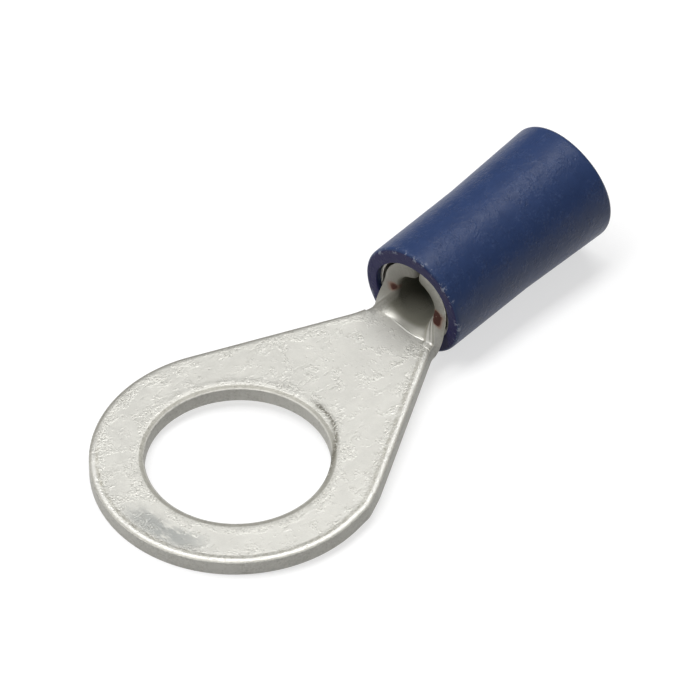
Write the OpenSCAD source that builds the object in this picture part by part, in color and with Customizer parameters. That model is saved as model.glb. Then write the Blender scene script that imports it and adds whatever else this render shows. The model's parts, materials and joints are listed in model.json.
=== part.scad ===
// Insulated ring terminal for an 8 mm stud, double-crimp pattern, in millimetres.
//
// The metal is one stamping of tinned copper sheet: a flat ring tongue whose straight sides close in to a
// neck, and two wings behind the neck that are rolled up into the wire barrel, butting in a seam on top.
// A thin support sleeve and a vinyl sleeve are pressed over the barrel from behind. Both are a little wider
// at the back, where they grip the wire's own insulation.
//
// Origin: centre of the stud hole, on the tongue's underside. +X runs toward the wire entry, +Z is up.

/* [Ring tongue] */
// Diameter of the stud hole
stud_hole_d = 8.4; // [6.5:0.1:9]
// Outside diameter of the ring
ring_d = 13.4; // [12.6:0.1:14.4]
// Thickness of the copper sheet
sheet_t = 0.75; // [0.6:0.05:0.85]
// Distance from the stud hole's centre to the line where the flat sheet starts to curl
tongue_len = 11; // [10.5:0.1:13]
// Width of the neck, where the sheet is narrowest
neck_w = 3.84; // [3.4:0.02:4.2]
// Radius of the fillet between the neck and the front edge of each wing
shoulder_r = 0.8; // [0.6:0.05:0.9]

/* [Wire barrel] */
// Inside diameter of the rolled barrel
barrel_bore_d = 2.3; // [2.1:0.05:2.6]
// Length of the barrel, from the wings' front edge to the rear end
barrel_len = 5.6; // [4.5:0.1:6.5]
// Length over which the flat sheet curls up to the full roundness of the barrel
roll_len = 0.9; // [0.8:0.05:1.1]
// Width of the open butt seam along the top of the barrel
seam_gap = 0.2; // [0.1:0.02:0.3]
// Radius of the wings' corners at the front of the seam
wing_corner_r = 0.36; // [0.3:0.02:0.5]
// Bevel on the barrel's rear inside edge, which leads the strands in
barrel_lead_in = 0.2; // [0.1:0.05:0.3]

/* [Sheared edges] */
// Width of the rolled-over upper edge that the punch leaves
edge_roll_w = 0.26; // [0.1:0.02:0.28]
// Depth of the rolled-over upper edge
edge_roll_h = 0.1; // [0.04:0.02:0.16]

/* [Support sleeve] */
// Wall of the support sleeve
support_wall = 0.15; // [0.1:0.01:0.25]
// Diametral play between the barrel and the support sleeve
support_play = 0.18; // [0.14:0.01:0.3]
// How far the support sleeve's front end lies behind the front end of the vinyl
support_front_inset = 0.2; // [0.15:0.05:0.6]
// How far the support sleeve's rear end lies inside the rear end of the vinyl
support_rear_inset = 1; // [0.5:0.1:2]

/* [Insulation sleeve] */
// Distance from the bend line to the front end of the vinyl
insulation_front_gap = 0.57; // [0.45:0.01:0.7]
// Length of the vinyl sleeve
insulation_len = 10.33; // [9:0.01:12]
// Wall of the vinyl sleeve at the front
insulation_wall = 0.65; // [0.5:0.01:0.8]
// Length of the slightly wider rear part that grips the wire's own insulation
grip_len = 5.15; // [4:0.05:6]
// Growth of each sleeve's radius over that rear part
grip_flare = 0.185; // [0:0.005:0.3]
// Radius that rounds the front and rear rims of the vinyl
rim_r = 0.14; // [0.05:0.01:0.2]

/* [Clearances] */
// Gap left where two pieces seat against each other
seat_gap = 0.01; // [0.01:0.005:0.02]

/* [Hidden] */
$fn = 96;

tin_color = [0.78, 0.78, 0.75];
support_color = [0.66, 0.66, 0.63];
vinyl_color = [0.2, 0.27, 0.43];

// How far a piece of one solid runs into the next, and how far it stays inside that one's surfaces
overlap = 0.3;
inlay = 0.01;

ring_r = ring_d / 2;
hole_r = stud_hole_d / 2;

// Sheet outline: the side is the common tangent of the ring and of the shoulder fillet
shoulder_y = neck_w / 2 + shoulder_r;
shoulder_dist = norm([tongue_len, shoulder_y]);
taper_angle = asin((ring_r + shoulder_r) / shoulder_dist) - atan2(shoulder_y, tongue_len);
side_normal = 90 - taper_angle;
side_len = sqrt(pow(shoulder_dist, 2) - pow(ring_r + shoulder_r, 2));
side_dir = [sin(taper_angle), cos(taper_angle)];
taper_from = (ring_r - inlay) * side_dir;
taper_to = [tongue_len, shoulder_y] - shoulder_r * side_dir;

// Barrel: the middle of the sheet rolls to mid_r, and the floor stays level with the tongue
barrel_r = barrel_bore_d / 2;
mid_r = barrel_r + sheet_t / 2;
barrel_or = barrel_r + sheet_t;
barrel_z = barrel_or;
wing_half = PI * mid_r - seam_gap / 2;
wing_x = tongue_len + shoulder_r;
tube_x = max(tongue_len + roll_len, wing_x + wing_corner_r) + overlap;
barrel_end_x = wing_x + barrel_len;

// Sleeves: one axis for both, above the barrel's axis, because they seat on the barrel's underside
sleeve_z = barrel_z + support_play / 2 - seat_gap;
support_r = barrel_or + support_play / 2;
support_or = support_r + support_wall;
vinyl_bore_r = support_or + seat_gap;
vinyl_or = vinyl_bore_r + insulation_wall;
vinyl_x0 = tongue_len + insulation_front_gap;
vinyl_x1 = vinyl_x0 + insulation_len;
grip_x = vinyl_x1 - grip_len;
support_x0 = vinyl_x0 + support_front_inset;
support_x1 = vinyl_x1 - support_rear_inset;

// Rolled-over upper edge, a quarter ellipse of [set back from the edge, depth below the surface]
roll_steps = 2;
edge_roll = [for (k = [0:roll_steps])
    [edge_roll_w * (1 - cos(90 * k / roll_steps)), edge_roll_h * (1 - sin(90 * k / roll_steps))]];

// Growth of a sleeve's radius at x: nothing up to the grip, then a straight flare
function flare(x) = grip_flare * max(0, x - grip_x) / grip_len;

// ---------------------------------------------------------------------------------- flat tongue

// Section of what the rolled-over edge takes away; the edge is at the origin, the outside toward +X
module edge_roll_section() {
    polygon(concat(
        [for (p = edge_roll) [-p[0], -p[1]]],
        [[-edge_roll_w, overlap], [overlap, overlap], [overlap, -edge_roll_h]]
    ));
}

// Round blank of the ring, with its upper edge rolled over
module ring_blank() {
    rotate_extrude()
        polygon(concat(
            [[0, 0], [ring_r, 0]],
            [for (p = edge_roll) [ring_r - p[0], sheet_t - p[1]]],
            [[0, sheet_t]]
        ));
}

// What the punch takes out for the stud, with the rolled-over edge around it
module stud_hole() {
    rotate_extrude()
        polygon(concat(
            [[0, -overlap], [hole_r, -overlap]],
            [for (p = edge_roll) [hole_r + p[0], sheet_t - p[1]]],
            [[hole_r + edge_roll_w, sheet_t + overlap], [0, sheet_t + overlap]]
        ));
}

// Tapering part from the ring to the start of the shoulder fillets, its sides rolled over like the ring
module taper() {
    difference() {
        linear_extrude(sheet_t)
            polygon([for (side = [1, -1]) for (p = side == 1 ? [taper_from, taper_to] : [taper_to, taper_from])
                [p[0], side * p[1]]]);
        for (side = [0, 1])
            mirror([0, side, 0])
                rotate([0, 0, side_normal])
                    translate([ring_r, overlap, sheet_t]) rotate([90, 0, 0])
                        linear_extrude(side_len + 2 * overlap) edge_roll_section();
    }
}

module tongue() {
    difference() {
        union() {
            ring_blank();
            taper();
        }
        stud_hole();
    }
}

// -------------------------------------------------------------------- neck and front of the wings

// The curl is laid out on the flat blank and then bent up. Each row runs across the blank from one edge to
// the other. Its ends follow the blank's outline: down the shoulder fillet, along the wing's front edge,
// around the wing's corner and back along the seam.

// One row as [x at the edge, distance of the edge from the middle, x at the middle], with the outline
// set back by b from the sheared edge
function blank_rows(b) = let (
        fillet = shoulder_r + b,
        corner = wing_corner_r - b,
        spread = corner / (front_rows + corner_rows),
        front_from = neck_w / 2 + shoulder_r,
        front_to = wing_half - wing_corner_r
    ) concat(
        [for (x = [taper_to[0] - overlap, taper_to[0]])
            [x, shoulder_y - sqrt(pow(fillet, 2) - pow(tongue_len - taper_to[0], 2))
                + (taper_to[0] - x) * tan(taper_angle), x]],
        [for (k = [1:neck_rows]) let (a = -taper_angle * (1 - k / neck_rows))
            [tongue_len + fillet * sin(a), shoulder_y - fillet * cos(a), tongue_len + fillet * sin(a)]],
        [for (k = [1:fillet_rows]) let (a = 90 * k / fillet_rows)
            [tongue_len + fillet * sin(a), shoulder_y - fillet * cos(a), tongue_len + fillet * sin(a)]],
        [for (k = [1:front_rows])
            [wing_x + b, front_from + (front_to - front_from) * k / front_rows, wing_x + b + spread * k]],
        [for (k = [1:corner_rows]) let (a = 90 * k / corner_rows)
            [wing_x + wing_corner_r - corner * cos(a), front_to + corner * sin(a),
             wing_x + b + spread * (front_rows + k)]],
        [for (x = [tube_x - overlap / 3, tube_x, tube_x + overlap])
            [x, wing_half - (x < tube_x ? b : b + seam_gap / 4), x]]
    );
neck_rows = 3;
fillet_rows = 9;
front_rows = 6;
corner_rows = 4;
row_count = 2 + neck_rows + fillet_rows + front_rows + corner_rows + 3;

// Curvature of the sheet at x, from flat at the bend line to the barrel's own
function curvature(x) = sin(90 * min(1, max(0, (x - tongue_len) / roll_len))) / mid_r;

// Point of the curled sheet, h above its middle surface and s along the bent section
function curled(x, s, h) = let (k = curvature(x), a = s * k * 180 / PI)
    k > 0
        ? [x, sin(a) / k - h * sin(a), sheet_t / 2 + (1 - cos(a)) / k + h * cos(a)]
        : [x, s, sheet_t / 2 + h];

// A row's points. The first two rows lie inside the taper and the last two inside the barrel's wall, so
// they keep a little within the sheet's surfaces.
half_columns = 20;
function row_points(row, n, h) = let (inset = n < 2 || n > row_count - 3 ? inlay : 0)
    [for (c = [-half_columns:half_columns]) let (u = c / half_columns)
        curled(row[2] + (row[0] - row[2]) * u * u, (row[1] - inset) * u, h - sign(h) * inset)];

// Layers of the sheet as [set back, height above the middle surface]: underside, then the sheared edge's
// top, the rolled-over edge and the upper side
layers = concat(
    [[0, -sheet_t / 2]],
    [for (p = edge_roll) [p[0], sheet_t / 2 - p[1]]]
);

column_count = 2 * half_columns + 1;
last_column = column_count - 1;
last_row = row_count - 1;
last_layer = len(layers) - 1;
function index(layer, n, c) = (layer * row_count + n) * column_count + c;

// Two triangles for a four-cornered patch
function patch(a, b, c, d) = [[a, b, c], [a, c, d]];

// Walk around a layer's edge: front end, one side, rear end, the other side
border = concat(
    [for (c = [0:last_column - 1]) [0, c]],
    [for (n = [0:last_row - 1]) [n, last_column]],
    [for (c = [last_column:-1:1]) [last_row, c]],
    [for (n = [last_row:-1:1]) [n, 0]]
);

module curled_sheet() {
    points = [for (layer = layers) let (rows = blank_rows(layer[0]))
        for (n = [0:last_row]) each row_points(rows[n], n, layer[1])];
    underside = [for (n = [0:last_row - 1]) for (c = [0:last_column - 1])
        each patch(index(0, n, c), index(0, n + 1, c), index(0, n + 1, c + 1), index(0, n, c + 1))];
    upper_side = [for (n = [0:last_row - 1]) for (c = [0:last_column - 1])
        each patch(index(last_layer, n, c), index(last_layer, n, c + 1),
                   index(last_layer, n + 1, c + 1), index(last_layer, n + 1, c))];
    edges = [for (layer = [0:last_layer - 1]) for (k = [0:len(border) - 1])
        let (p = border[k], q = border[(k + 1) % len(border)])
        each patch(index(layer, p[0], p[1]), index(layer, q[0], q[1]),
                   index(layer + 1, q[0], q[1]), index(layer + 1, p[0], p[1]))];
    polyhedron(points = points, faces = concat(underside, upper_side, edges), convexity = 6);
}

// ----------------------------------------------------------------------------------- wire barrel

// Round part of the barrel, with the butt seam open on top
module barrel_tube() {
    translate([tube_x, 0, barrel_z])
        difference() {
            rotate([0, 90, 0]) rotate_extrude()
                polygon([
                    [barrel_r, 0],
                    [barrel_or, 0],
                    [barrel_or, barrel_end_x - tube_x],
                    [barrel_r + barrel_lead_in, barrel_end_x - tube_x],
                    [barrel_r, barrel_end_x - tube_x - barrel_lead_in]
                ]);
            translate([-overlap, -seam_gap / 2, 0])
                cube([barrel_len, seam_gap, 2 * barrel_or]);
        }
}

// ---------------------------------------------------------------------------------------- nodes

// One stamping: tongue, neck and rolled barrel
module terminal() {
    color(tin_color)
        union() {
            tongue();
            curled_sheet();
            barrel_tube();
        }
}

// Thin metal tube around the barrel, which reaches back under the vinyl's wider part
module support_sleeve() {
    color(support_color)
        translate([0, 0, sleeve_z]) rotate([0, 90, 0]) rotate_extrude()
            polygon([
                [support_r, support_x0],
                [support_or, support_x0],
                [support_or, grip_x],
                [support_or + flare(support_x1), support_x1],
                [support_r + flare(support_x1), support_x1],
                [support_r, grip_x]
            ]);
}

// Quarter circle of a rounded rim, centre at [r, x], from one angle to another
rim_steps = 5;
function rim(r, x, from, to) = [for (k = [0:rim_steps])
    let (a = from + (to - from) * k / rim_steps) [r + rim_r * cos(a), x + rim_r * sin(a)]];

// Vinyl tube: straight over the barrel, wider over the grip, both rims rounded
module insulation_sleeve() {
    grip_or = vinyl_or + grip_flare;
    color(vinyl_color)
        translate([0, 0, sleeve_z]) rotate([0, 90, 0]) rotate_extrude()
            polygon(concat(
                [[vinyl_bore_r, vinyl_x0]],
                rim(vinyl_or - rim_r, vinyl_x0 + rim_r, -90, 0),
                [[vinyl_or, grip_x]],
                rim(grip_or - rim_r, vinyl_x1 - rim_r, 0, 90),
                rim(vinyl_bore_r + grip_flare + rim_r, vinyl_x1 - rim_r, 90, 180),
                [[vinyl_bore_r, grip_x]]
            ));
}

terminal();
support_sleeve();
insulation_sleeve();
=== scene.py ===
# %% [markdown]
# # A ring terminal with a blue vinyl sleeve
# The real part is three pieces. One is stamped from tinned copper sheet: a flat ring tongue whose neck
# runs into two wings, rolled up into the wire barrel. A thin metal support sleeve and a vinyl sleeve are
# pressed over that barrel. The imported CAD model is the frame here: it fixes the sizes and the places,
# and each piece below is a finer surface made around the same numbers.

# %% Frame
import json
import math

import bmesh
import bpy
import numpy as np
from mathutils import Matrix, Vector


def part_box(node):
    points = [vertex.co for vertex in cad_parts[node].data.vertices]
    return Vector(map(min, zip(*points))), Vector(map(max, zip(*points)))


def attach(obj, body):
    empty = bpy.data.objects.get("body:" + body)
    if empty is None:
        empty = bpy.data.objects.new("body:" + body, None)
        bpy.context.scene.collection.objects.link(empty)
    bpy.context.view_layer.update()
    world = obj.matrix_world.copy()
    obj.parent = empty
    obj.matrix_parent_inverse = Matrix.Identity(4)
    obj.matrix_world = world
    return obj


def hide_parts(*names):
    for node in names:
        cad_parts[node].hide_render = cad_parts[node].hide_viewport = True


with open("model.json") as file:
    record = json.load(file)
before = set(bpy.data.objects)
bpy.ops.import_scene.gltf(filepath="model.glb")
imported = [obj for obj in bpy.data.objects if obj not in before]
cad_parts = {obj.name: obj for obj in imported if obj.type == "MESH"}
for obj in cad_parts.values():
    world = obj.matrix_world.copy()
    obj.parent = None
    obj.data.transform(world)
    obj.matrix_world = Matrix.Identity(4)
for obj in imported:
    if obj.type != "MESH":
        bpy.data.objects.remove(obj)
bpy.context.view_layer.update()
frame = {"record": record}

# %% [markdown]
# ## Sizes
# Everything that the frame knows is read from it: the hole, the sheet and the bore come from the
# record's mounts, and the lengths and radii come from the nodes' boxes. The sizes that a box can't tell,
# such as the neck's width, are written out. Lengths are in millimetres until a mesh is made.

# %% Sizes read from the frame
MM = 0.001
mounts = {m["name"]: m for m in frame["record"]["mounts"]}


def node_box(node):
    """Lowest and highest corner of a CAD node, in millimetres."""
    low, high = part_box(node)
    return np.array(low) / MM, np.array(high) / MM


metal_low, metal_high = node_box("terminal")
vinyl_low, vinyl_high = node_box("insulation_sleeve")
support_low, support_high = node_box("support_sleeve")

hole_r = mounts["stud_hole"]["dims"]["r_mm"]
sheet_t = mounts["stud_hole"]["dims"]["length_mm"]
bore_r = mounts["wire_barrel"]["dims"]["r_mm"]
ring_r = -metal_low[0]
barrel_end = metal_high[0]
middle_r = bore_r + sheet_t / 2
vinyl_start, vinyl_end = vinyl_low[0], vinyl_high[0]
vinyl_rear_r = (vinyl_high[2] - vinyl_low[2]) / 2
sleeve_y, sleeve_z = (vinyl_low[1] + vinyl_high[1]) / 2, (vinyl_low[2] + vinyl_high[2]) / 2

# %% Sizes that a box can't tell
# The stamping: where the sheet starts to curl, the neck, the curl, the seam, the wings' corners, and the
# chamfer at the barrel's rear end
bend_x = 11.0
neck_half = 1.92
shoulder_r = 0.8
curl_len = 0.9
seam_gap = 0.2
wing_corner_r = 0.36
lead_in = 0.2
# Its rolled-over edges, a burr on the ring as an angle, a height and a spread in degrees, and small shifts
roll_w, roll_h = 0.28, 0.08
hole_roll_w = 0.5
burr_angle, burr_size, burr_spread = 284, 0.05, 3.5
crease_bow = 0.12
wing_lean = 0.1
fuller_root = 0.09
# The sleeves: how much wider they get toward the wire, from where on, walls, rims, and how far they lean
# sideways for each millimetre along
flare = 0.185
grip_x = vinyl_end - 5.15
vinyl_wall = 0.65
support_wall = 0.15
rim_r = 0.14
rear_rim_r = 0.22
bore_rim_r = 0.05
edge_r = 0.03
askew = 0.0062

wing_x = bend_x + shoulder_r
wing_half = math.pi * middle_r - seam_gap / 2
shoulder_y = neck_half + shoulder_r
taper = math.asin((ring_r + shoulder_r) / math.hypot(bend_x, shoulder_y)) - math.atan2(shoulder_y, bend_x)
join_x = bend_x - shoulder_r * math.sin(taper)
print("ring radius", round(ring_r, 3), "sheet", sheet_t, "taper half-angle", round(math.degrees(taper), 2))

# %% [markdown]
# ## Helpers that turn grids of points into meshes
# A surface is a function of two parameters, so its points fill a grid and its faces join neighbours in
# that grid. numpy computes a whole grid at once. That is quick, and it keeps the formula readable.


# %% Grid helpers
def grid_faces(index, close_rows=False, close_columns=False):
    """Quads between neighbours of a 2-D array of vertex numbers, with the last row or column joined back."""
    if close_rows:
        index = np.concatenate([index, index[:1]], 0)
    if close_columns:
        index = np.concatenate([index, index[:, :1]], 1)
    return np.stack([index[:-1, :-1], index[1:, :-1], index[1:, 1:], index[:-1, 1:]], -1)


def make_piece(name, points, faces, values):
    """Mesh object at the origin from points in millimetres, with each entry of values stored per vertex.
    Points that fall together are merged. Edges where faces meet at more than 32 degrees shade sharp."""
    mesh = bpy.data.meshes.new(name)
    mesh.from_pydata((np.asarray(points) * MM).tolist(), [], [list(f) for f in faces])
    for key, value in values.items():
        mesh.attributes.new(key, "FLOAT", "POINT").data.foreach_set("value", np.asarray(value, np.float32))
    tidy = bmesh.new()
    tidy.from_mesh(mesh)
    bmesh.ops.remove_doubles(tidy, verts=tidy.verts, dist=2e-7)
    bmesh.ops.recalc_face_normals(tidy, faces=tidy.faces)
    open_edges = sum(not edge.is_manifold for edge in tidy.edges)
    tidy.to_mesh(mesh)
    tidy.free()
    mesh.polygons.foreach_set("use_smooth", np.ones(len(mesh.polygons), bool))
    mesh.set_sharp_from_angle(angle=math.radians(32))
    piece = bpy.data.objects.new(name, mesh)
    bpy.context.scene.collection.objects.link(piece)
    print(name, len(mesh.vertices), "vertices,", len(mesh.polygons), "faces,", open_edges, "open edges")
    return piece


def smooth_step(low, high, value):
    """0 below low, 1 above high, and the curve 3t^2 - 2t^3 between them."""
    t = np.clip((value - low) / (high - low), 0, 1)
    return t * t * (3 - 2 * t)


def bell(value, center, spread, power=2):
    """1 at center, falling on both sides as exp(-((value - center) / spread)^power)."""
    return np.exp(-((value - center) / spread) ** power)


# %% [markdown]
# ## The stamping's edge
# A punch drags the sheet's upper side down a little before it cuts, which leaves a soft rolled-over edge
# above a sheared wall. It catches the light as a thin bright line around the ring. Its section is a
# quarter ellipse, given as how far it is set back from the wall and how deep it lies below the top. The
# wall counts as sheared all the way up, and the roll above it less and less.

# %% Edge section
roll_turn = np.linspace(0, math.pi / 2, 9)
roll_back = roll_w * (1 - np.cos(roll_turn))
roll_depth = roll_h * (1 - np.sin(roll_turn))
roll_sheared = 1 - smooth_step(0.25, 1.0, roll_turn / roll_turn[-1])


# %% [markdown]
# ## Outline of the flat tongue
# The outline is the ring's arc, two straight sides that touch the ring and close in on the neck, and a
# line across the neck where the curled part takes over. Each outline point has a partner on the hole's
# rim. The section between the two goes around the metal: hole wall, rolled edge, top, rolled edge, outer
# wall, underside. Together the sections make one ring-shaped grid that is closed both ways.


# %% Tongue
def neck_width(back):
    """Half width across the neck at join_x, for an outline that is set back: a circle around the fillet's
    centre, whose radius grows by that much."""
    return shoulder_y - np.sqrt((shoulder_r + back) ** 2 - (bend_x - join_x) ** 2)


half_columns = 44
across = np.linspace(-1, 1, 2 * half_columns + 1)
side = math.pi / 2 - taper
touch = ring_r * np.array([math.cos(side), math.sin(side)])
corner = np.array([join_x, neck_width(0)])


def outline():
    """Points, outward normals and across-neck values, walking once around: neck, +Y side, arc, -Y side."""
    run = np.linspace(0, 1, 44)[1:-1, None]
    arc = np.linspace(side, 2 * math.pi - side, 261)
    up = corner + (touch - corner) * run
    down = (touch + (corner - touch) * run) * [1, -1]
    neck = np.stack([np.full(across.size, join_x), corner[1] * across], 1)
    round_part = ring_r * np.stack([np.cos(arc), np.sin(arc)], 1)
    normal = np.array([math.cos(side), math.sin(side)])
    burr = burr_size * bell(np.degrees(arc), burr_angle, burr_spread)
    round_part = round_part * (1 + burr / ring_r)[:, None]
    points = np.concatenate([neck, up, round_part, down])
    normals = np.concatenate([
        np.tile([1.0, 0.0], (across.size, 1)), np.tile(normal, (len(up), 1)),
        np.stack([np.cos(arc), np.sin(arc)], 1), np.tile(normal * [1, -1], (len(down), 1))])
    u = np.concatenate([across, np.full(len(points) - across.size, np.nan)])
    return points, normals, u


def tongue_grid():
    """Sections around the hole. Along one: hole wall, quarter ellipse up, straight mix from the hole's rim
    to the outline across the top, quarter ellipse down, outer wall, and a straight mix back underneath.
    Also returns how sheared each point is, its distance from the hole and from the outline, a mask for
    the sides where the press left a bead, and the column where the outer rolled edge starts."""
    points, normals, u = outline()
    angle = np.arctan2(points[:, 1], points[:, 0])
    spoke = np.stack([np.cos(angle), np.sin(angle)], 1)

    def outer(back):
        flat = points - normals * back
        flat[:across.size] = np.stack([np.full(across.size, join_x), neck_width(back) * across], 1)
        return flat

    def at(flat, z):
        return np.concatenate([flat, np.full((len(flat), 1), z)], 1)

    mix_top = (0.5 - 0.5 * np.cos(np.linspace(0, math.pi, 26)))[1:-1]
    mix_low = np.linspace(1, 0, 14)[1:-1]
    hole_back = roll_back * hole_roll_w / roll_w
    inner_top, outer_top = spoke * (hole_r + hole_roll_w), outer(roll_w)
    sections = (
        [at(spoke * hole_r, 0)]
        + [at(spoke * (hole_r + b), sheet_t - d) for b, d in zip(hole_back, roll_depth)]
        + [at(inner_top + (outer_top - inner_top) * m, sheet_t) for m in mix_top]
        + [at(outer(b), sheet_t - d) for b, d in zip(roll_back[::-1], roll_depth[::-1])]
        + [at(points, 0)]
        + [at(spoke * hole_r + (points - spoke * hole_r) * m, 0) for m in mix_low])
    sheared = np.concatenate([[1], roll_sheared, 0 * mix_top, roll_sheared[::-1], [1], 0 * mix_low])
    grid = np.stack(sections, 1)
    first_outer = 1 + len(roll_back) + len(mix_top)
    from_hole = np.hypot(grid[..., 0], grid[..., 1]) - hole_r
    inward = ((points[:, None] - grid[..., :2]) * normals[:, None]).sum(-1)
    from_outline = np.where(np.isnan(u)[:, None], inward, neck_width(0) - np.abs(grid[..., 1]))
    facing = smooth_step(-0.25, 0.25, normals @ [-0.8, -0.6])
    hole_facing = smooth_step(-0.1, 0.5, spoke @ [0.9, 0.2])
    bead_here = np.where(from_outline < from_hole, facing[:, None], hole_facing[:, None])
    return grid, np.tile(sheared, (len(grid), 1)), from_hole, from_outline, bead_here, first_outer


tongue, tongue_sheared, from_hole, from_outline, bead_here, first_outer = tongue_grid()
index = np.arange(tongue.shape[0] * tongue.shape[1]).reshape(tongue.shape[:2])
quads = grid_faces(index, close_rows=True, close_columns=True)
keep = np.ones(quads.shape[:2], bool)  # all but the wall across the neck, where the barrel goes on
keep[:across.size - 1, first_outer:first_outer + len(roll_back)] = False
tongue_faces = quads[keep].reshape(-1, 4)
print("tongue sections", tongue.shape[0], "points in each", tongue.shape[1])

# %% [markdown]
# ## Neck, wings and barrel
# Behind the bend line the flat blank is rolled up. The blank is laid out as rows that run from one edge
# to the other: their ends follow the fillet, the wing's front edge, its rounded corner and the seam.
# Then each point is bent: its curvature grows from nothing at the bend line to the barrel's own, so a
# point that lies s from the middle turns through s times that curvature. The rows grow from the flat
# ones into full circles, and the two edges meet in a seam on top. Up the wings' front edges the
# rolled-over edge gets narrower, and around their corners and along the seam it is deeper too.


# %% Blank rows and bending
row_counts = (8, 27, 20, 10, 36)
neck_rows, fillet_rows, front_rows, corner_rows, seam_rows = row_counts
row_part = np.repeat(np.arange(5), row_counts)
along = np.concatenate([np.linspace(0, 1, count) for count in row_counts])
grown = np.select([row_part < 2, row_part == 2], [0.0, smooth_step(0, 1, along)], 1.0)
edge_growth = 1 - 0.55 * grown
edge_sink = 1 + 0.9 * grown * (row_part > 2)


def blank_rows(back):
    """Rows as x at the edge, half width, x at the middle, for an outline set back from the sheared edge.
    The fillet is a circle of radius shoulder_r + back, and the corner one of radius wing_corner_r - back.
    On the wings the rolled-over edge is narrower, so there back is taken edge_growth times."""
    back = back * edge_growth
    part = [back[row_part == k] for k in range(5)]
    fillet = shoulder_r + part[0]
    a = np.concatenate([np.arcsin(shoulder_r * np.sin(np.linspace(-taper, 0, neck_rows + 1)[:-1]) / fillet),
                        np.linspace(0, math.pi / 2, fillet_rows)])
    fillet = shoulder_r + np.concatenate(part[:2])
    bend_edge = bend_x + fillet * np.sin(a)
    front_top = wing_half - wing_corner_r
    t, c = np.linspace(0, 1, front_rows + 1)[1:], np.linspace(0, math.pi / 2, corner_rows + 1)[1:]
    rounding = wing_corner_r - part[3]
    front_x = wing_x + part[2]
    corner_x = wing_x + wing_corner_r - rounding * np.cos(c)
    seam_x = np.linspace(wing_x + wing_corner_r, barrel_end - lead_in, seam_rows)[1:]
    seam_x = np.append(seam_x, barrel_end)
    fan = np.linspace(0, 1, front_rows + corner_rows + 1)[1:]
    front_middle = wing_x + back[0] + (wing_corner_r - back[0]) * fan
    edge = np.concatenate([bend_edge, front_x, corner_x, seam_x])
    half = np.concatenate([shoulder_y - fillet * np.cos(a), shoulder_y + (front_top - shoulder_y) * t,
                           front_top + rounding * np.sin(c), wing_half - part[4]])
    return edge, half, np.concatenate([bend_edge, front_middle, seam_x])


def past_crease(x, s):
    """How far x lies behind the line where the bend starts, which bows toward the ring as a bell in s."""
    return x - bend_x + crease_bow * bell(s, -0.6, 0.8)


def bend(x, s, height):
    """Point at x, s from the middle along the bent section and height above the sheet's middle surface.
    The curvature k rises as a quarter sine, and the section is an arc of radius 1/k through angle s*k.
    The +Y wing was pressed in a little further at its front, so its upper part leans inward there."""
    k = np.sin(math.pi / 2 * np.clip(past_crease(x, s) / curl_len, 0, 1)) / middle_r
    turn, safe = s * k, np.where(k < 1e-6, 1.0, k)
    y = np.where(k < 1e-6, s, np.sin(turn) / safe - height * np.sin(turn))
    z = sheet_t / 2 + np.where(k < 1e-6, height, (1 - np.cos(turn)) / safe + height * np.cos(turn))
    y = y - wing_lean * smooth_step(0.9, 2.4, s) * (1 - smooth_step(12.2, 13.6, x))
    return np.stack(np.broadcast_arrays(x, y, z), -1)


def bent_row_points(back, depth, u, side_up=1):
    """Bends all rows at the across values u: x moves from the middle to the edge with the square of u, and
    the height is half the sheet on the side that is asked for, less the depth of the rolled-over edge."""
    edge, half, middle = (v[:, None] for v in blank_rows(back))
    height = (sheet_t / 2 - (depth * edge_sink)[:, None]) if side_up > 0 else np.full_like(edge, -sheet_t / 2)
    if side_up > 0:
        height[-1] = min(height[-1, 0], sheet_t / 2 - lead_in)
    return bend(middle + (edge - middle) * u * u, half * u, height)


# %% Barrel grid
top = bent_row_points(roll_w, 0, across[None, :])
low = bent_row_points(0, 0, across[None, ::-1], side_up=-1)
plus = [bent_row_points(b, d, np.array([[1.0]])) for b, d in zip(roll_back[-2::-1], roll_depth[-2::-1])]
minus = [bent_row_points(b, d, np.array([[-1.0]])) for b, d in zip(roll_back[:-1], roll_depth[:-1])]
barrel = np.concatenate([top, *plus, low, *minus], 1)
barrel_sheared = np.concatenate([0 * across, roll_sheared[-2::-1], 0 * across, roll_sheared[:-1]])
barrel_sheared[[across.size + len(plus), -len(minus) - 1]] = 1
barrel_index = index.size + np.arange(barrel.shape[0] * barrel.shape[1]).reshape(barrel.shape[:2])
barrel_faces = grid_faces(barrel_index, close_columns=True).reshape(-1, 4)
rim_loop = barrel_index[-1]
rim_top, rim_low = rim_loop[:across.size], rim_loop[across.size + len(plus):2 * across.size + len(plus)][::-1]
end_faces = np.stack([rim_top[:-1], rim_top[1:], rim_low[1:], rim_low[:-1]], 1)
end_sides = [[rim_top[-1], *rim_loop[across.size:across.size + len(plus)], rim_low[-1]],
             [rim_top[0], rim_low[0], *rim_loop[-len(minus):]]]
print("barrel rows", barrel.shape[0], "points in each", barrel.shape[1])

# %% [markdown]
# The tongue's grid and the barrel's grid share the points of the neck line, so merging doubles makes one
# closed skin of them, as the real stamping is one piece of metal. Each vertex also keeps values for the
# tin's material. Some say where it lies: on the sheared wall, how far from the hole and from the outline,
# how far behind the bend, inside the curl, at a wing's foot. The one inside the curl marks where shade is
# painted. The others are masks for wear: a smudge on the ring, dirt beside the hole, bare copper on the
# wings' edges. A mask is a product of soft steps and bell curves, so it has no hard edge, and noise in the
# material breaks it up.

# %% Stamping
metal_points = np.concatenate([tongue.reshape(-1, 3), barrel.reshape(-1, 3)])
at_root = bell(metal_points[:, 0], 10.8, 0.42) * smooth_step(0.9, 1.9, metal_points[:, 1])
metal_points[:, 1] += fuller_root * at_root * (metal_points[:, 2] < 1.5)
metal_faces = [*tongue_faces.tolist(), *barrel_faces.tolist(), *end_faces.tolist(), *end_sides]
barrel_count = barrel.shape[0] * barrel.shape[1]


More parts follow.
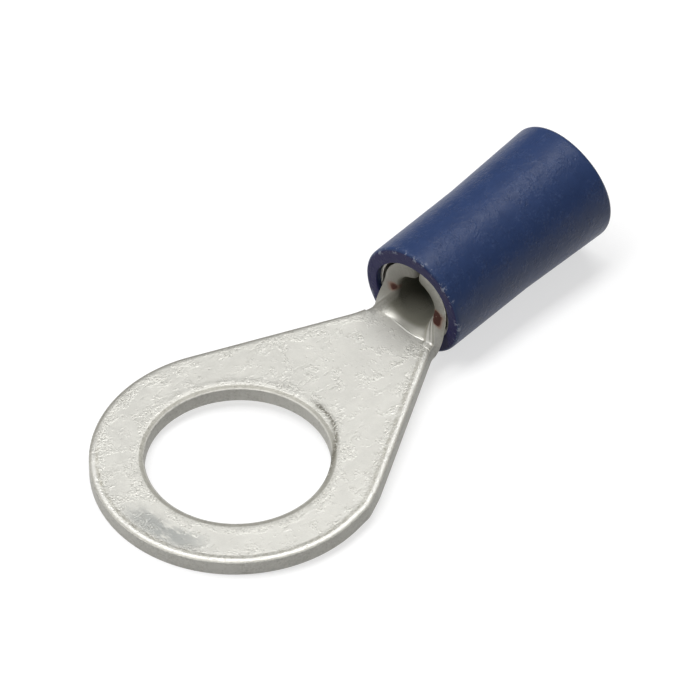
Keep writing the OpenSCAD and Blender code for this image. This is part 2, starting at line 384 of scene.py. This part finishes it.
def with_barrel(on_tongue, on_barrel=0.0):
    """Per-vertex values of the whole stamping, from those of the tongue's grid and the barrel's grid."""
    return np.concatenate([np.ravel(on_tongue), np.broadcast_to(np.ravel(on_barrel), barrel_count)])


def in_barrel_columns(values):
    """The barrel grid's values, from one for each column that every row repeats."""
    return np.tile(values, barrel.shape[0])


x_at, y_at, z_at = metal_points.T
behind = past_crease(x_at, y_at)
half_at = blank_rows(np.zeros(len(row_part)))[1][:, None]
across_at = np.concatenate([across, np.ones(len(plus)), across[::-1], -np.ones(len(minus))])

column = np.arange(barrel.shape[1])
is_upper = column < across.size
is_rolled = (column >= across.size) & (column < across.size + len(plus))
is_rolled = is_rolled | (column >= len(column) - len(minus))
tongue_top = tongue[..., 2] > sheet_t / 2
# Where shade is painted inside the curl: the upper side behind the bend, less at the +Y wing's foot and on
# the -Y wing's rolled edge, which stay lit. The same mask makes the metal there duller.
inner = with_barrel(tongue_top, in_barrel_columns(is_upper | is_rolled))
trough = with_barrel(tongue_top, in_barrel_columns(is_upper)) * (z_at < sheet_t + 0.9) * (x_at < wing_x)
deep = np.maximum(smooth_step(bend_x - 0.1, bend_x + 0.5, x_at),
                  0.55 * smooth_step(0.0, 0.07, behind) * (1 - smooth_step(0.2, 1.0, y_at)))
bright_foot = 0.85 * smooth_step(1.25, 1.75, y_at) * (1 - smooth_step(1.2, 1.8, z_at))
bright_edge = with_barrel(0 * tongue_top, in_barrel_columns(is_rolled))
bright_edge = bright_edge * (y_at < 0) * (1 - smooth_step(1.5, 1.9, z_at))

from_center = np.hypot(tongue[..., 0], tongue[..., 1])
turn_at = np.degrees(np.arctan2(tongue[..., 1], tongue[..., 0])) % 360
smudge = bell(turn_at, 187, 20, 4) * bell(from_center, 5.72, 0.56, 4)
grime_r = hole_r + 0.55 * smooth_step(300, 345, turn_at)
grime = smooth_step(275, 300, turn_at) * (1 - smooth_step(352, 360, turn_at))
grime = grime * bell(from_center, grime_r, 0.13)
copper_spots = np.array([[11.95, 1.44, 1.87], [11.62, -1.54, 1.85]])
spot_gap = np.linalg.norm(metal_points[:, None] - copper_spots[None], axis=2)

terminal = make_piece("ring_tongue_and_barrel", metal_points, metal_faces, {
    "sheared": with_barrel(tongue_sheared, in_barrel_columns(barrel_sheared)),
    "from_hole": with_barrel(from_hole, 5.0),
    "from_outline": with_barrel(from_outline, half_at * (1 - np.abs(across_at))),
    "behind_bend": behind,
    "wing_foot": with_barrel(0 * tongue_top, smooth_step(bend_x + 0.2, bend_x + 0.6, barrel[..., 0]))
    * (1 - smooth_step(1.7, 2.3, z_at)),
    "inside": inner * deep * (1 - bright_foot) * (1 - bright_edge),
    "bead_here": with_barrel(bead_here, barrel[..., 1] < 0),
    "crease": trough * smooth_step(-1.95, -1.6, y_at) * (1 - smooth_step(0.1, 0.8, y_at)),
    "smudge": with_barrel(smudge),
    "hole_grime": with_barrel(grime * (tongue[..., 2] > 0.7 * sheet_t)),
    "copper": (1 - smooth_step(0.14, 0.54, spot_gap)).max(1)})

# %% [markdown]
# ## The two sleeves
# Both sleeves are turned shapes: a closed profile of distance along the axis and radius, swept around.
# The vinyl's front lip and rear rim are rounded, and its rear part widens a little so that it can take
# the wire's own insulation. A real cut end is never quite even, so both rims wave by a few hundredths and
# are cut a little off square. At the top of the mouth the soft lip sags over the barrel.


# %% Sleeves
def turned(profile, steps, wave=0.0, seed=0, sag=0.0, slant=0.0):
    """Sweeps [x, radius] points around the sleeve axis. Radius and x vary by wave times a sum of slow
    cosines, and the front inner edge comes in by sag at the top, as a bell curve in the angle. The front
    cut is off by slant times the angle's cosine, and the rear cut by slant times the cosine of twice the
    angle, shifted. The axis leans sideways by askew and up by two thirds of that, as the sleeve was
    pressed on a little out of line."""
    rng = np.random.default_rng(seed)
    angle = np.linspace(0, 2 * math.pi, steps, endpoint=False)[None, :]
    order = np.arange(2, 9)
    size = rng.normal(size=(2, 7, 1, 1)) / order[:, None, None]
    phase = rng.uniform(0, 6.28, (2, 7, 1, 1))
    radial, axial = wave * (size * np.cos(order[:, None, None] * angle + phase)).sum(1)
    x = np.array([p[0] for p in profile])[:, None]
    r = np.array([p[1] for p in profile])[:, None]
    ends = 1 - smooth_step(0, 0.8, np.minimum(x - x.min(), x.max() - x))
    x_all = x + axial * ends
    r_all = r + radial * (0.35 + 0.65 * ends)
    lip = (1 - smooth_step(0.1, 0.2, x - x.min())) * (1 - smooth_step(0.05, 0.3, r - r.min()))
    r_all = r_all - sag * lip * bell(np.degrees(angle), 68, 42, 4)
    x_all = x_all - slant * (1 - smooth_step(x.min(), x.min() + 1.5, x)) * np.cos(angle)
    x_all = x_all - slant * smooth_step(x.max() - 1.5, x.max(), x) * np.cos(2 * angle - math.radians(200))
    off = askew * (x_all - (vinyl_start + vinyl_end) / 2)
    points = np.stack([x_all, sleeve_y + off + r_all * np.cos(angle),
                       sleeve_z + 0.66 * off + r_all * np.sin(angle)], -1)
    grid = np.arange(points.shape[0] * steps).reshape(points.shape[0], steps)
    return points.reshape(-1, 3), grid_faces(grid, True, True).reshape(-1, 4).tolist()


def quarter(x, r, radius, start, stop, steps=8):
    """Points of an arc around [x, r], where 0 degrees is outward in radius and 90 is toward +X."""
    a = np.radians(np.linspace(start, stop, steps))
    return np.stack([x + radius * np.sin(a), r + radius * np.cos(a)], 1)


def run_between(first, last, steps):
    """Evenly spaced points between two profile points, without the ends."""
    t = np.linspace(0, 1, steps + 1)[1:-1, None]
    return np.array(first) + (np.array(last) - np.array(first)) * t


def joined(*parts, spacing=0.12):
    """One closed profile: arcs as given, with evenly spaced runs between the end of one and the next."""
    out = []
    for part, following in zip(parts, parts[1:] + parts[:1]):
        part, following = np.atleast_2d(part), np.atleast_2d(following)
        gap = np.linalg.norm(following[0] - part[-1])
        out += [part, run_between(part[-1], following[0], max(1, int(gap / spacing)))]
    return np.concatenate(out)


vinyl_r = vinyl_rear_r - flare
vinyl_bore = vinyl_r - vinyl_wall
vinyl_profile = joined(
    quarter(vinyl_start + bore_rim_r, vinyl_bore + bore_rim_r, bore_rim_r, 180, 270, 5),
    quarter(vinyl_start + rim_r, vinyl_r - rim_r, rim_r, -90, 0),
    [[grip_x, vinyl_r]],
    quarter(vinyl_end - rear_rim_r, vinyl_rear_r - rear_rim_r, rear_rim_r, 0, 90),
    quarter(vinyl_end - rim_r, vinyl_bore + flare + rim_r, rim_r, 90, 180),
    [[grip_x, vinyl_bore]],
)
vinyl_steps, support_steps = 192, 144
vinyl_points, vinyl_faces = turned(vinyl_profile, vinyl_steps, wave=0.006, seed=4, sag=0.13, slant=0.05)
profile_x, profile_r = (np.repeat(vinyl_profile[:, k], vinyl_steps) for k in (0, 1))
rim_inset = 0.06
to_front_edge = np.hypot(profile_x - vinyl_start, profile_r - (vinyl_r - rim_inset))
to_rear_edge = np.hypot(profile_x - vinyl_end, profile_r - (vinyl_rear_r - rim_inset))
vinyl_sleeve = make_piece("vinyl_sleeve", vinyl_points, vinyl_faces, {
    "cut_face": (1 - smooth_step(0.0, 0.1, profile_x - vinyl_start)) * (profile_r < vinyl_r - 0.1),
    "front_edge": 1 - smooth_step(0.06, 0.24, to_front_edge),
    "rear_edge": 1 - smooth_step(0.05, 0.2, to_rear_edge)})

support_start, support_end = support_low[0], support_high[0]
support_rear_r = (support_high[2] - support_low[2]) / 2
support_flare = flare * (support_end - grip_x) / (vinyl_end - grip_x)
support_r = support_rear_r - support_flare
support_profile = joined(
    quarter(support_start + edge_r, support_r - support_wall + edge_r, edge_r, 180, 270, 4),
    quarter(support_start + edge_r, support_r - edge_r, edge_r, -90, 0, 4),
    [[grip_x, support_r]],
    quarter(support_end - edge_r, support_rear_r - edge_r, edge_r, 0, 90, 4),
    quarter(support_end - edge_r, support_rear_r - support_wall + edge_r, edge_r, 90, 180, 4),
    [[grip_x, support_r - support_wall]],
)
support_points, support_faces = turned(support_profile, support_steps)
support_tube = make_piece("support_tube", support_points, support_faces, {})

# %% [markdown]
# ## Shared effects
# Metal and vinyl both show two things up close: cloudy variation over about a millimetre, and fine marks
# in the surface: grain that gathers in patches, pits and scratches. Each is a node group with its own
# inputs, built once and placed in each material with other values. Patterns read Object coordinates, so
# they stay on the piece from any side.


# %% Node helpers
def new_group(name, inputs, outputs):
    """Empty shader group whose float inputs come with default values, and whose outputs are floats."""
    group = bpy.data.node_groups.new(name, "ShaderNodeTree")
    socket_type = "NodeSocketFloat"
    for key, value in inputs.items():
        socket = group.interface.new_socket(name=key, in_out="INPUT", socket_type=socket_type)
        socket.default_value = value
    for key in outputs:
        group.interface.new_socket(name=key, in_out="OUTPUT", socket_type=socket_type)
    return group, group.nodes.new("NodeGroupInput"), group.nodes.new("NodeGroupOutput")


def add(tree, kind, inputs=None, **settings):
    """New node in tree. An input is set from a value, or linked where the value is another node's socket."""
    node = tree.nodes.new(kind)
    for key, value in settings.items():
        setattr(node, key, value)
    for key, value in (inputs or {}).items():
        if isinstance(value, bpy.types.NodeSocket):
            tree.links.new(value, node.inputs[key])
        else:
            node.inputs[key].default_value = value
    return node


def math_node(tree, operation, first, second=0.0, third=0.0, clamp=False):
    """Output of a Math node."""
    values = {0: first, 1: second, 2: third}
    return add(tree, "ShaderNodeMath", values, operation=operation, use_clamp=clamp).outputs[0]


def map_range(tree, value, low, high, to_low=0.0, to_high=1.0):
    """Value carried from low..high to to_low..to_high with a smooth step."""
    values = {"Value": value, "From Min": low, "From Max": high, "To Min": to_low, "To Max": to_high}
    return add(tree, "ShaderNodeMapRange", values, interpolation_type="SMOOTHSTEP").outputs[0]


def mm_coordinates(tree):
    """Object coordinates in millimetres, so that a texture's scale counts features per millimetre."""
    place = add(tree, "ShaderNodeTexCoord").outputs["Object"]
    return add(tree, "ShaderNodeMapping", {"Vector": place, "Scale": (1 / MM,) * 3}).outputs[0]


def drawn_out(tree, place, turn, stretch, start=0.0):
    """Coordinates turned about Z and squeezed along one axis, which draws a pattern out along that axis."""
    values = {"Vector": place, "Rotation": (0, 0, turn), "Location": (start, 0, 0), "Scale": stretch}
    return add(tree, "ShaderNodeMapping", values).outputs[0]


def noise(tree, place, scale, detail=3.0, roughness=0.55, distortion=0.0):
    """Noise with scale in features per millimetre."""
    return add(tree, "ShaderNodeTexNoise", {"Vector": place, "Scale": scale, "Detail": detail,
                                            "Roughness": roughness, "Distortion": distortion}).outputs["Fac"]


# %% Cloudy variation
cloud, cloud_in, cloud_out = new_group("cloudy_variation", {"Size": 1.0, "Strength": 0.1}, ["Factor"])
place = mm_coordinates(cloud)
broad = noise(cloud, place, cloud_in.outputs["Size"], 4.0, 0.6)
fine = noise(cloud, place, math_node(cloud, "MULTIPLY", cloud_in.outputs["Size"], 5.0), 3.0, 0.6)
both = math_node(cloud, "MULTIPLY_ADD", fine, 0.35, math_node(cloud, "MULTIPLY", broad, 0.65))
swing = math_node(cloud, "MULTIPLY", math_node(cloud, "SUBTRACT", both, 0.5), 4.0)
factor = math_node(cloud, "MULTIPLY_ADD", swing, cloud_in.outputs["Strength"], 1.0)
cloud.links.new(factor, cloud_out.inputs["Factor"])

# %% Fine marks
marks, marks_in, marks_out = new_group(
    "fine_marks", {"Grain": 8.0, "Patches": 0.5, "Pits": 1.0, "Scratches": 1.0},
    ["Height", "Dark", "Bright", "Patch"])
place = mm_coordinates(marks)
grain = noise(marks, place, marks_in.outputs["Grain"], 2.0, 0.7)
patch = noise(marks, place, 1.3, 5.0, 0.7, 0.3)
edge = math_node(marks, "MULTIPLY_ADD", marks_in.outputs["Patches"], -0.22, 0.62)
patch = map_range(marks, patch, edge, math_node(marks, "ADD", edge, 0.12))
dark = math_node(marks, "MULTIPLY", map_range(marks, grain, 0.28, 0.5, 1.0, 0.0), patch)
bright = math_node(marks, "MULTIPLY", map_range(marks, grain, 0.5, 0.72), patch)
cells = add(marks, "ShaderNodeTexVoronoi", {"Vector": place, "Scale": 1.9, "Randomness": 1.0})
pit = map_range(marks, cells.outputs["Distance"], 0.04, 0.14, 1.0, 0.0)
pit = math_node(marks, "MULTIPLY", pit, map_range(marks, cells.outputs["Color"], 0.45, 0.7))
dark = math_node(marks, "MAXIMUM", dark, pit)
dark = math_node(marks, "MULTIPLY", dark, marks_in.outputs["Pits"], clamp=True)
scratch = None
for turn, stretch, where in ((0.5, 0.2, 3.0), (-0.9, 0.25, 7.0), (1.4, 0.2, 1.0)):
    drawn = drawn_out(marks, place, turn, (stretch, 1.0, 1.0), where)
    line = map_range(marks, noise(marks, drawn, 7.0, 2.0, 0.5), 0.64, 0.72)
    here = map_range(marks, noise(marks, drawn, 1.2, 1.0, 0.5), 0.5, 0.6)
    line = math_node(marks, "MULTIPLY", line, here)
    scratch = line if scratch is None else math_node(marks, "MAXIMUM", scratch, line)
scratch = math_node(marks, "MULTIPLY", scratch, marks_in.outputs["Scratches"])
relief = math_node(marks, "MULTIPLY_ADD", patch, 0.8, 0.2)
height = math_node(marks, "MULTIPLY", grain, relief)
height = math_node(marks, "SUBTRACT", height, math_node(marks, "MULTIPLY", dark, 0.5))
height = math_node(marks, "SUBTRACT", height, math_node(marks, "MULTIPLY", scratch, 0.5))
marks.links.new(height, marks_out.inputs["Height"])
marks.links.new(math_node(marks, "MAXIMUM", dark, scratch), marks_out.inputs["Dark"])
marks.links.new(math_node(marks, "MULTIPLY", bright, marks_in.outputs["Pits"]), marks_out.inputs["Bright"])
marks.links.new(patch, marks_out.inputs["Patch"])
print("shared groups:", [g.name for g in bpy.data.node_groups])


# %% [markdown]
# ## Tin plate
# Tin plate is a metal with a satin skin: metallic, its colour is what it reflects, and its roughness
# spreads that reflection into a soft sheen. Plating follows the copper's pits and scratches, so those
# go into the bump. The sheared wall is torn rather than rolled, so it is rougher and duller, and its
# colour is darker too, partly as painted shade, with a painted dark line where the rolled edge meets it.
# Beside it the press left a low bead, which catches the light and also has a painted highlight along it,
# with a line of painted shade behind that. The far rim is painted darker, as painted shade. Inside the
# curl the plate is duller and painted dark, as painted shade. The sheared edge at each wing's foot is
# painted dark as well, as painted shade. On the wings' edges the thin plate is broken and warm copper
# shows. Each of these is one mask, one amount and one colour, mixed over what came before.


# %% Tin plate material
def new_material(name):
    """Material with an empty tree, its Principled shader and its output."""
    material = bpy.data.materials.new(name)
    material.use_nodes = True
    tree = material.node_tree
    tree.nodes.clear()
    shader = add(tree, "ShaderNodeBsdfPrincipled")
    output = add(tree, "ShaderNodeOutputMaterial")
    tree.links.new(shader.outputs[0], output.inputs[0])
    return material, tree, shader


def group_node(tree, group, **inputs):
    """A shared group placed in a material with its own values."""
    node = tree.nodes.new("ShaderNodeGroup")
    node.node_tree = group
    for key, value in inputs.items():
        node.inputs[key].default_value = value
    return node


def mixed(tree, factor, first, second, blend="MIX"):
    """Colour mix of two colours or sockets."""
    node = tree.nodes.new("ShaderNodeMix")
    node.data_type, node.blend_type = "RGBA", blend
    for key, value in ((0, factor), (6, first), (7, second)):
        if isinstance(value, bpy.types.NodeSocket):
            tree.links.new(value, node.inputs[key])
        else:
            node.inputs[key].default_value = value
    return node.outputs[2]


def attribute(tree, name):
    """Per-vertex value stored on the piece."""
    return add(tree, "ShaderNodeAttribute", attribute_name=name).outputs["Fac"]


def tinted(tree, base, mask, amount, color):
    """The base colour, going over to color by amount times mask."""
    return mixed(tree, math_node(tree, "MULTIPLY", mask, amount), base, (*color, 1))


def band(tree, value, low, high, soft):
    """1 between low and high, 0 outside, with soft sides."""
    rise = map_range(tree, value, low - soft, low)
    return math_node(tree, "MULTIPLY", rise, map_range(tree, value, high, high + soft, 1.0, 0.0))


# Depth of a bump in metres, from full black to full white
tin_bump, vinyl_bump = 1.5e-5, 1.6e-5


def tin_plate(name, color, wall_dullness_and_shade):
    """Satin tin. color is the plate's own; the last argument is how far the sheared wall's colour falls
    behind it, as duller metal and partly as painted shade.
    """
    material, tree, shader = new_material(name)
    variation = group_node(tree, cloud, Size=0.9, Strength=0.07)
    surface = group_node(tree, marks, Grain=9.0, Patches=0.5, Pits=1.0, Scratches=0.45)
    marked = surface.outputs
    sheared_here, inside_here = attribute(tree, "sheared"), attribute(tree, "inside")
    outline_gap, hole_gap = attribute(tree, "from_outline"), attribute(tree, "from_hole")
    bead_side = attribute(tree, "bead_here")
    edge_gap = math_node(tree, "MINIMUM", outline_gap, hole_gap)
    tree.links.new(map_range(tree, edge_gap, 0.2, 1.1, 1.05, 0.5), surface.inputs["Patches"])

    place = mm_coordinates(tree)
    smear = noise(tree, drawn_out(tree, place, 0.3, (1.0, 0.35, 1.0)), 3.5, 4.0, 0.6)
    smudge = math_node(tree, "MULTIPLY", map_range(tree, smear, 0.28, 0.52), attribute(tree, "smudge"))
    stain = noise(tree, place, 4.0, 4.0, 0.65)
    copper = math_node(tree, "MULTIPLY", map_range(tree, stain, 0.3, 0.46), attribute(tree, "copper"))
    copper = map_range(tree, copper, 0.12, 0.5)
    # The sheared edge at the foot of each wing, just before the sleeve's lip, is painted dark, as painted
    # shade.
    painted_foot_shade = math_node(tree, "MULTIPLY", attribute(tree, "wing_foot"), sheared_here)
    # A line of painted shade just inside the bead on the near sides, broken up by noise.
    painted_bead_shade = math_node(tree, "MULTIPLY", band(tree, outline_gap, 0.34, 0.38, 0.12), bead_side)
    painted_bead_shade = math_node(tree, "MULTIPLY", painted_bead_shade, map_range(tree, stain, 0.35, 0.65))
    speckle = map_range(tree, noise(tree, place, 9.0, 3.0, 0.6), 0.36, 0.52)
    speckle = math_node(tree, "MULTIPLY", speckle, attribute(tree, "hole_grime"))
    # On the far rim, where there is no bead, the plate is painted darker, as painted shade.
    painted_far_rim_shade = math_node(tree, "SUBTRACT", 1.0, bead_side)
    painted_far_rim_shade = math_node(tree, "MULTIPLY", painted_far_rim_shade, map_range(tree, outline_gap, 0.1, 0.34, 1.0, 0.0))
    # A painted highlight along the bead on the near sides.
    painted_rim_highlight = math_node(tree, "MULTIPLY", band(tree, outline_gap, 0.12, 0.22, 0.08), bead_side)

    plate = mixed(tree, 1.0, (*color, 1), variation.outputs["Factor"], "MULTIPLY")
    for mask, amount, tint in (
            (smudge, 0.9, (0.38, 0.39, 0.375)),
            (marked["Patch"], 0.18, (0.40, 0.39, 0.35)),
            (marked["Bright"], 0.5, (0.95, 0.94, 0.89)),
            (marked["Dark"], 0.42, (0.30, 0.29, 0.25)),
            # Painted shade inside the curl.
            (inside_here, 0.9, (0.14, 0.135, 0.10)),
            # The sheared wall darker: duller metal, and partly painted shade.
            (sheared_here, wall_dullness_and_shade, (0.30, 0.29, 0.26)),
            (painted_foot_shade, 0.55, (0.26, 0.25, 0.20)),
            # A painted dark line where the rolled edge meets the wall, as painted shade.
            (band(tree, sheared_here, 0.5, 0.85, 0.15), 0.55, (0.22, 0.21, 0.17)),
            (painted_bead_shade, 0.6, (0.38, 0.36, 0.29)),
            (speckle, 0.92, (0.14, 0.13, 0.10)),
            (painted_far_rim_shade, 0.4, (0.34, 0.33, 0.30)),
            (painted_rim_highlight, 0.35, (0.97, 0.96, 0.92)),
            (copper, 1.0, (0.24, 0.105, 0.07)),
            (map_range(tree, copper, 0.55, 1.0), 1.0, (0.06, 0.017, 0.01))):
        plate = tinted(tree, plate, mask, amount, tint)
    tree.links.new(plate, shader.inputs["Base Color"])

    metallic = math_node(tree, "MULTIPLY_ADD", sheared_here, -0.35, 0.75)
    tree.links.new(math_node(tree, "MULTIPLY_ADD", inside_here, -0.3, metallic), shader.inputs["Metallic"])
    satin = math_node(tree, "MULTIPLY_ADD", variation.outputs["Factor"], 0.25, 0.18)
    satin = math_node(tree, "MULTIPLY_ADD", inside_here, 0.3, satin)
    tree.links.new(math_node(tree, "MULTIPLY_ADD", sheared_here, 0.12, satin), shader.inputs["Roughness"])

    bump = add(tree, "ShaderNodeBump", {"Height": marked["Height"], "Strength": 0.8, "Distance": tin_bump})
    behind_bend = attribute(tree, "behind_bend")
    ridge = math_node(tree, "SUBTRACT", map_range(tree, behind_bend, -0.07, 0.0),
                      map_range(tree, behind_bend, 0.0, 0.05))
    ridge = math_node(tree, "MULTIPLY", math_node(tree, "MULTIPLY", ridge, 0.6), attribute(tree, "crease"))
    bead = math_node(tree, "MAXIMUM", map_range(tree, outline_gap, 0.24, 0.5, 1.0, 0.0),
                     map_range(tree, hole_gap, 0.45, 0.75, 0.5, 0.0))
    pressed = math_node(tree, "MAXIMUM", math_node(tree, "MULTIPLY", bead, bead_side), ridge)
    press = add(tree, "ShaderNodeBump", {"Height": pressed, "Strength": 1.0, "Distance": tin_bump,
                                         "Normal": bump.outputs[0]})
    tree.links.new(press.outputs[0], shader.inputs["Normal"])
    return material


tin = tin_plate("tinned_copper_satin", (0.715, 0.706, 0.657), 0.45)
support_tin = tin_plate("support_sleeve_tin", (0.74, 0.73, 0.69), 0.0)

# %% [markdown]
# ## Vinyl
# The sleeve is soft vinyl, coloured right through. Its skin is satin: a dark blue with faint clouds in
# it, a fine grain and a slow ripple that break up the highlight, pale specks along the front edge that
# are worn nicks and painted glints, and a darker rear rim. The face that the knife cut has no skin, so a
# second material with less shine covers it, and its colour is painted darker, as painted shade.


# %% Vinyl material
def satin_vinyl(name, color, specular):
    """Dark vinyl whose colour and roughness drift a little, with specks, a fine grain, a darker rear rim,
    pale specks on the front edge that are worn nicks and painted glints, and a cut face painted darker, as
    painted shade.
    """
    material, tree, shader = new_material(name)
    variation = group_node(tree, cloud, Size=1.6, Strength=0.12)
    marked = group_node(tree, marks, Grain=8.0, Patches=0.75, Pits=0.8, Scratches=0.4).outputs
    # Pale specks along the front edge: worn nicks, and painted glints of the rounded rim.
    nick_and_glint_specks = map_range(tree, noise(tree, mm_coordinates(tree), 2.4, 5.0, 0.75), 0.55, 0.62)
    nick_and_glint_specks = math_node(tree, "MULTIPLY", nick_and_glint_specks, attribute(tree, "front_edge"))
    body = mixed(tree, 1.0, (*color, 1), variation.outputs["Factor"], "MULTIPLY")
    for mask, amount, tint in (
            (marked["Bright"], 0.25, (0.11, 0.15, 0.27)),
            (marked["Dark"], 0.3, (0.012, 0.022, 0.06)),
            # The cut face is painted darker and more purple, as painted shade.
            (attribute(tree, "cut_face"), 1.0, (0.026, 0.025, 0.09)),
            (nick_and_glint_specks, 0.8, (0.30, 0.33, 0.42)),
            (attribute(tree, "rear_edge"), 0.6, (0.012, 0.018, 0.05))):
        body = tinted(tree, body, mask, amount, tint)
    tree.links.new(body, shader.inputs["Base Color"])
    satin = math_node(tree, "MULTIPLY_ADD", variation.outputs["Factor"], 0.2, 0.19)
    tree.links.new(satin, shader.inputs["Roughness"])
    shader.inputs["Specular IOR Level"].default_value = specular
    ripple = noise(tree, mm_coordinates(tree), 1.8, 3.0, 0.6)
    height = math_node(tree, "MULTIPLY_ADD", ripple, 1.6, marked["Height"])
    bump = add(tree, "ShaderNodeBump", {"Height": height, "Strength": 1.0, "Distance": vinyl_bump})
    tree.links.new(bump.outputs[0], shader.inputs["Normal"])
    return material


vinyl = satin_vinyl("blue_vinyl_satin", (0.0222, 0.043, 0.119), 0.25)
vinyl_cut = satin_vinyl("blue_vinyl_cut_face", (0.0245, 0.050, 0.136), 0.1)

# %% [markdown]
# Each piece takes its material and its place in the frame: it rides on the one body and stands in for its
# CAD node, which is hidden. On the vinyl, faces whose corners lie mostly on the cut go over to the second
# material.

# %% Finishes and places in the frame
for piece, node, slot, material in (
        (terminal, "terminal", "tinned_copper", tin),
        (support_tube, "support_sleeve", "support_metal", support_tin),
        (vinyl_sleeve, "insulation_sleeve", "blue_vinyl", vinyl)):
    piece.data.materials.append(material)
    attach(piece, "root")
    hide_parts(node)
vinyl_sleeve.data.materials.append(vinyl_cut)
face_corners = np.zeros(len(vinyl_sleeve.data.loops), int)
vinyl_sleeve.data.loops.foreach_get("vertex_index", face_corners)
on_cut = np.zeros(len(vinyl_sleeve.data.vertices))
vinyl_sleeve.data.attributes["cut_face"].data.foreach_get("value", on_cut)
cut_faces = on_cut[face_corners].reshape(-1, 4).mean(1) > 0.4
vinyl_sleeve.data.polygons.foreach_set("material_index", cut_faces.astype(int))
print("cut faces", int(cut_faces.sum()), "of", len(cut_faces))

# %% [markdown]
# ## Floor, light and camera
# Laid on a table, the part touches it with the ring's front edge and with the lower front edge of the
# vinyl, so the floor leans by some two and a half degrees against the tongue. Its slope is the steepest
# of the lines from the ring's front edge to the sleeve's points, each lowered a little. The floor is grey,
# and glows only for rays that come straight from the camera or by way of a mirror or glass. So it looks
# white in the picture and in the metal, and keeps the object's shadow.


# %% Floor
floor_gap, floor_reach = 0.003, 1500
floor_slope = ((vinyl_points[:, 2] - floor_gap) / (vinyl_points[:, 0] - metal_low[0])).min()
u, v = np.meshgrid(np.linspace(-1, 1, 3), np.linspace(-1, 1, 3), indexing="ij")
floor_x, floor_y = metal_low[0] + floor_reach * u, floor_reach * v
floor_z = floor_slope * (floor_x - metal_low[0])
floor_mesh = bpy.data.meshes.new("table_top")
floor_mesh.from_pydata((np.stack([floor_x, floor_y, floor_z], -1).reshape(-1, 3) * MM).tolist(), [],
                       grid_faces(np.arange(9).reshape(3, 3)).reshape(-1, 4).tolist())
floor = bpy.data.objects.new("table_top", floor_mesh)
bpy.context.scene.collection.objects.link(floor)
paper, tree, shader = new_material("white_table")
shader.inputs["Base Color"].default_value = (0.38, 0.38, 0.38, 1)
shader.inputs["Roughness"].default_value = 0.9
shader.inputs["Emission Color"].default_value = (1, 1, 1, 1)
path = add(tree, "ShaderNodeLightPath").outputs
seen = math_node(tree, "MAXIMUM", path["Is Camera Ray"], math_node(
    tree, "MAXIMUM", path["Is Glossy Ray"], path["Is Transmission Ray"]))
tree.links.new(math_node(tree, "MULTIPLY", seen, 0.64), shader.inputs["Emission Strength"])
floor_mesh.materials.append(paper)
print("floor leans", round(-math.degrees(math.atan(floor_slope)), 2), "degrees")

# %% [markdown]
# The sky is a soft gradient, dark at the horizon. A long strip lamp overhead draws the soft highlight
# along the vinyl, and a broad softbox high on the picture's left lights the flat tongue.

# %% World and lamps
world = bpy.data.worlds.new("studio")
bpy.context.scene.world = world
world.use_nodes = True
tree = world.node_tree
tree.nodes.clear()
sky_direction = add(tree, "ShaderNodeTexCoord").outputs["Generated"]
height = add(tree, "ShaderNodeSeparateXYZ", {0: sky_direction}).outputs["Z"]
sky = map_range(tree, height, 0.0, 1.0, 0.05, 0.32)
back = add(tree, "ShaderNodeBackground", {"Color": (1, 1, 1, 1), "Strength": sky})
tree.links.new(back.outputs[0], add(tree, "ShaderNodeOutputWorld").inputs[0])


def softbox(name, direction, size, radiance, distance=0.42):
    """Area lamp that shines on the part from a direction. Its power is radiance times pi times its area."""
    lamp = bpy.data.lights.new(name, "AREA")
    lamp.shape, lamp.size, lamp.size_y = "RECTANGLE", size[0], size[1]
    lamp.energy = radiance * math.pi * size[0] * size[1]
    holder = bpy.data.objects.new(name, lamp)
    z_axis = np.array(direction, float) / np.linalg.norm(direction)
    x_axis = np.array([1.0, 0, 0]) - z_axis[0] * z_axis
    x_axis /= np.linalg.norm(x_axis)
    y_axis = np.cross(z_axis, x_axis)
    turn = Matrix(np.stack([x_axis, y_axis, z_axis], 1).tolist()).to_4x4()
    center = np.array([(metal_low[0] + vinyl_end) / 2, 0, 0]) * MM
    holder.matrix_world = Matrix.Translation((center + z_axis * distance).tolist()) @ turn
    bpy.context.scene.collection.objects.link(holder)


strip_elevation = math.radians(84)
softbox("overhead_strip", (0.03, math.cos(strip_elevation), math.sin(strip_elevation)), (0.58, 0.125), 7.2)
softbox("front_softbox", (-0.30, 0.50, 0.81), (0.38, 0.30), 1.6)

# %% [markdown]
# A long lens from far away keeps the perspective weak, as in a catalogue picture. The aim is given in
# ring radii across and up the picture from the stud hole's centre, so it follows the part's size.

# %% Camera
view_azimuth, view_elevation, view_roll = (math.radians(turn) for turn in (43.677, 45.239, -1.3225))
view_distance = 0.536
forward = np.array([math.cos(view_azimuth), math.sin(view_azimuth), 0])
right = np.array([math.sin(view_azimuth), -math.cos(view_azimuth), 0])
look = forward * math.cos(view_elevation) - np.array([0, 0, math.sin(view_elevation)])
down = -forward * math.sin(view_elevation) - np.array([0, 0, math.cos(view_elevation)])
image_x = math.cos(view_roll) * right - math.sin(view_roll) * down
image_y = math.sin(view_roll) * right + math.cos(view_roll) * down
aim_across, aim_up = 0.7513, 0.7844
aim = (aim_across * image_x - aim_up * image_y) * ring_r * MM
lens_data = bpy.data.cameras.new("product_camera")
lens_data.sensor_width, lens_data.lens = 36, 613.3
camera = bpy.data.objects.new("product_camera", lens_data)
camera.matrix_world = Matrix.Translation((aim - look * view_distance).tolist()) @ Matrix(
    np.stack([image_x, -image_y, -look], 1).tolist()).to_4x4()
bpy.context.scene.collection.objects.link(camera)
bpy.context.scene.camera = camera
bpy.context.scene.view_settings.view_transform = "Standard"
